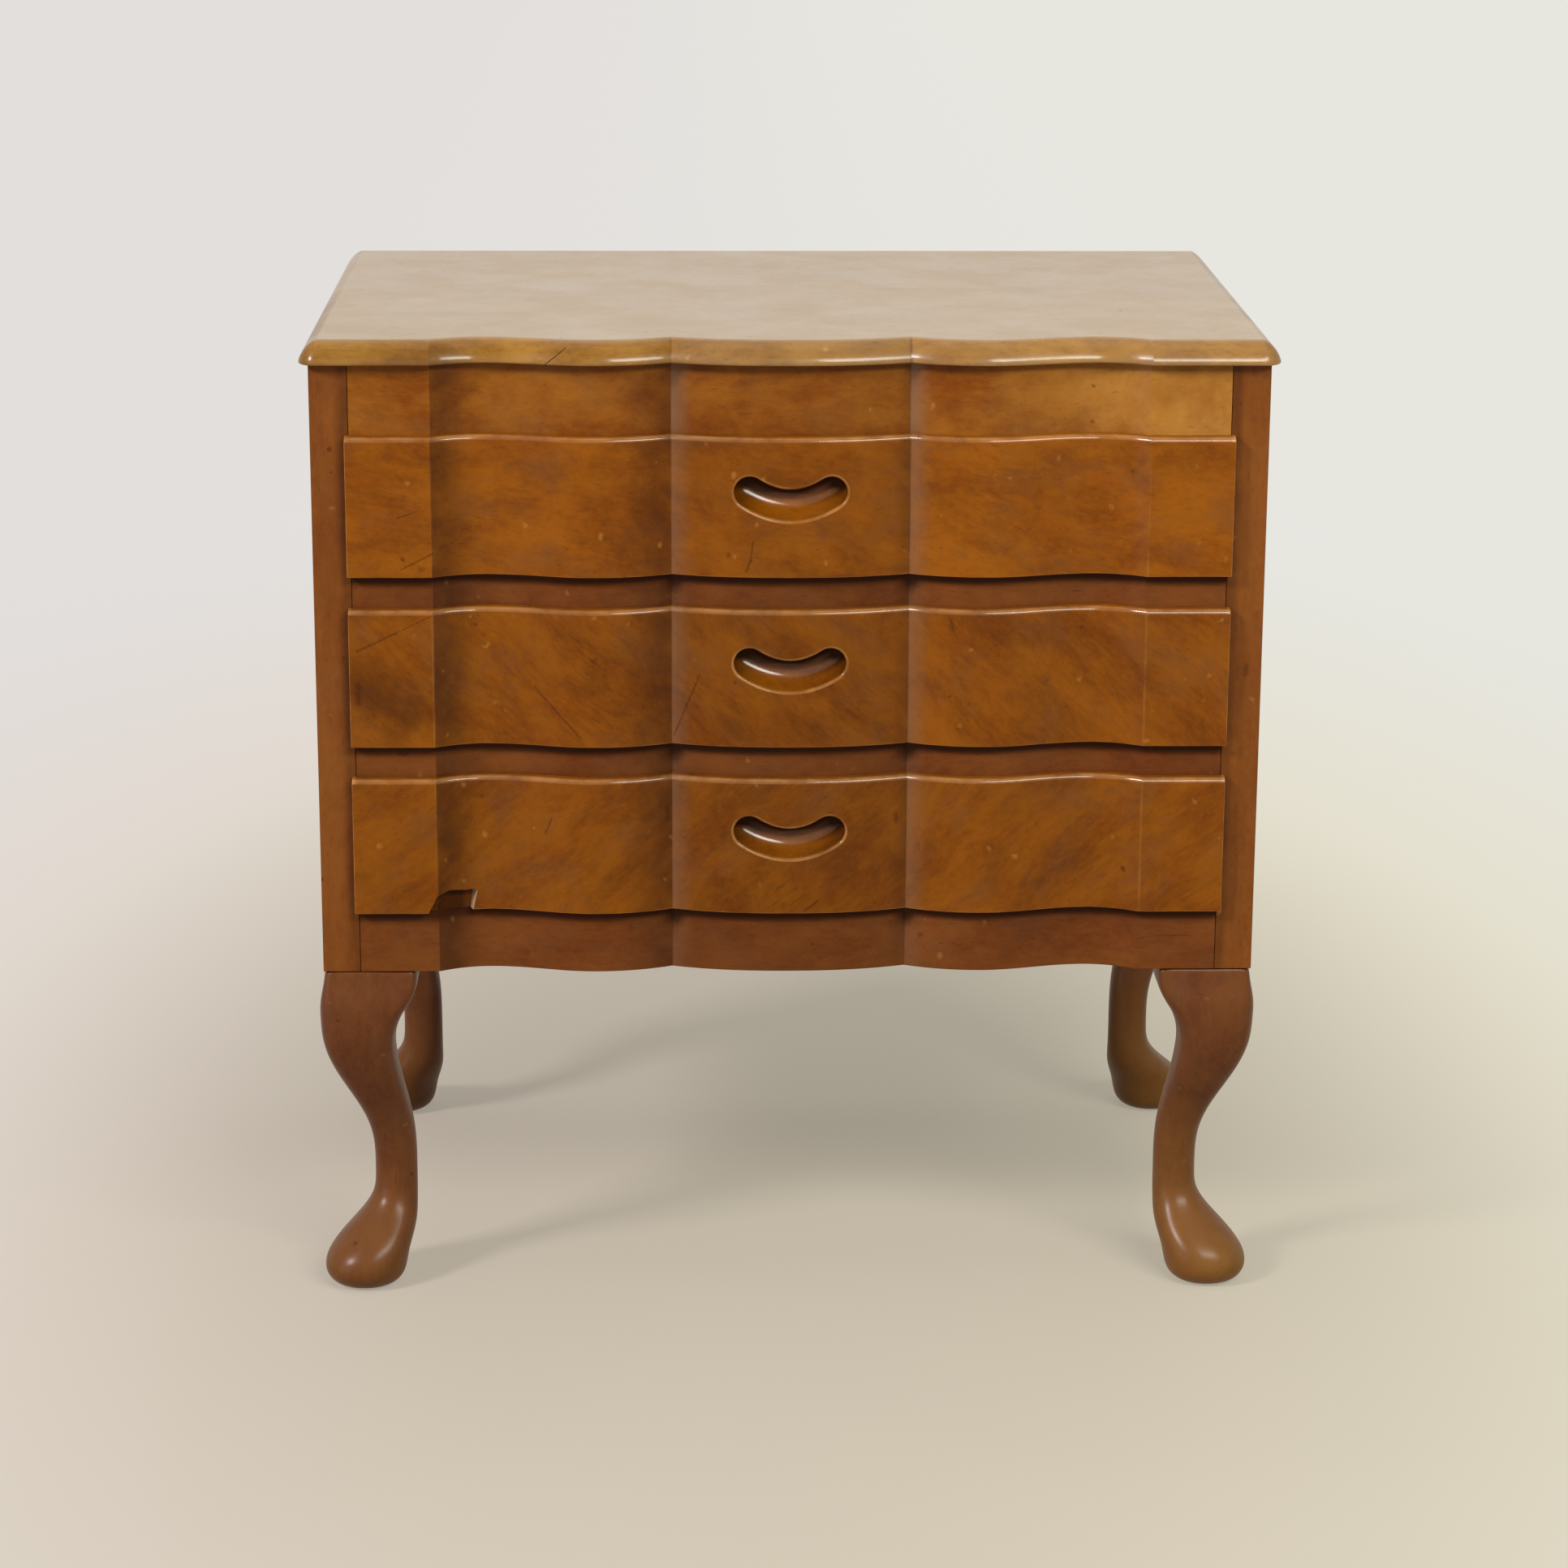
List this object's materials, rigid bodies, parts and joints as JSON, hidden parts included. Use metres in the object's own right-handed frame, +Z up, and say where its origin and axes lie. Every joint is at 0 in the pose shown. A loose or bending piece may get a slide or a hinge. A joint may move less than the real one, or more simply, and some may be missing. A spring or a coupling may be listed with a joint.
{
  "type": "chest of drawers",
  "caption": "Small chest of drawers with a moulded top, a serpentine front, lipped drawer fronts with carved kidney-shaped finger pulls, and cabriole legs.",
  "frame": {"origin": "on the floor, under the middle of the whole chest", "axes": "+Z up, +X to the right as seen from the front, +Y from the front to the back, so the drawers open along -Y"},
  "size_m": [0.6126, 0.3994, 0.6323],
  "materials": {
    "drawer_wood": "polished warm orange-brown hardwood",
    "frame_wood": "polished red-brown hardwood",
    "top_wood": "polished yellow-brown hardwood",
    "leg_wood": "polished dark red-brown hardwood",
    "inner_wood": "plain unpolished wood"
  },
  "bodies": {
    "carcass": {"top_board": "top_wood", "left_side_panel": "frame_wood", "right_side_panel": "frame_wood", "frieze_rail": "frame_wood", "middle_drawer_divider": "frame_wood", "lower_drawer_divider": "frame_wood", "apron_rail": "frame_wood", "bottom_board": "inner_wood", "back_panel": "inner_wood", "rear_top_rail": "inner_wood", "lower_left_runner": "inner_wood", "lower_right_runner": "inner_wood", "middle_left_runner": "inner_wood", "middle_right_runner": "inner_wood", "upper_left_runner": "inner_wood", "upper_right_runner": "inner_wood", "left_kicker": "inner_wood", "right_kicker": "inner_wood", "left_top_cleat": "inner_wood", "right_top_cleat": "inner_wood", "front_left_leg": "leg_wood", "front_right_leg": "leg_wood", "rear_left_leg": "leg_wood", "rear_right_leg": "leg_wood", "front_left_corner_block": "inner_wood", "front_right_corner_block": "inner_wood", "rear_left_corner_block": "inner_wood", "rear_right_corner_block": "inner_wood", "front_left_leg_dowel": "inner_wood", "front_right_leg_dowel": "inner_wood", "rear_left_leg_dowel": "inner_wood", "rear_right_leg_dowel": "inner_wood"},
    "lower_drawer": {"lower_drawer_front": "drawer_wood", "lower_drawer_left_side": "inner_wood", "lower_drawer_right_side": "inner_wood", "lower_drawer_back": "inner_wood", "lower_drawer_bottom": "inner_wood"},
    "middle_drawer": {"middle_drawer_front": "drawer_wood", "middle_drawer_left_side": "inner_wood", "middle_drawer_right_side": "inner_wood", "middle_drawer_back": "inner_wood", "middle_drawer_bottom": "inner_wood"},
    "upper_drawer": {"upper_drawer_front": "drawer_wood", "upper_drawer_left_side": "inner_wood", "upper_drawer_right_side": "inner_wood", "upper_drawer_back": "inner_wood", "upper_drawer_bottom": "inner_wood"}
  },
  "joints": [
    {"name": "lower_drawer_slide", "type": "slide", "parent": "carcass", "child": "lower_drawer", "axis": [0, -1, 0], "range_m": [0, 0.26]},
    {"name": "middle_drawer_slide", "type": "slide", "parent": "carcass", "child": "middle_drawer", "axis": [0, -1, 0], "range_m": [0, 0.26]},
    {"name": "upper_drawer_slide", "type": "slide", "parent": "carcass", "child": "upper_drawer", "axis": [0, -1, 0], "range_m": [0, 0.26]}
  ]
}
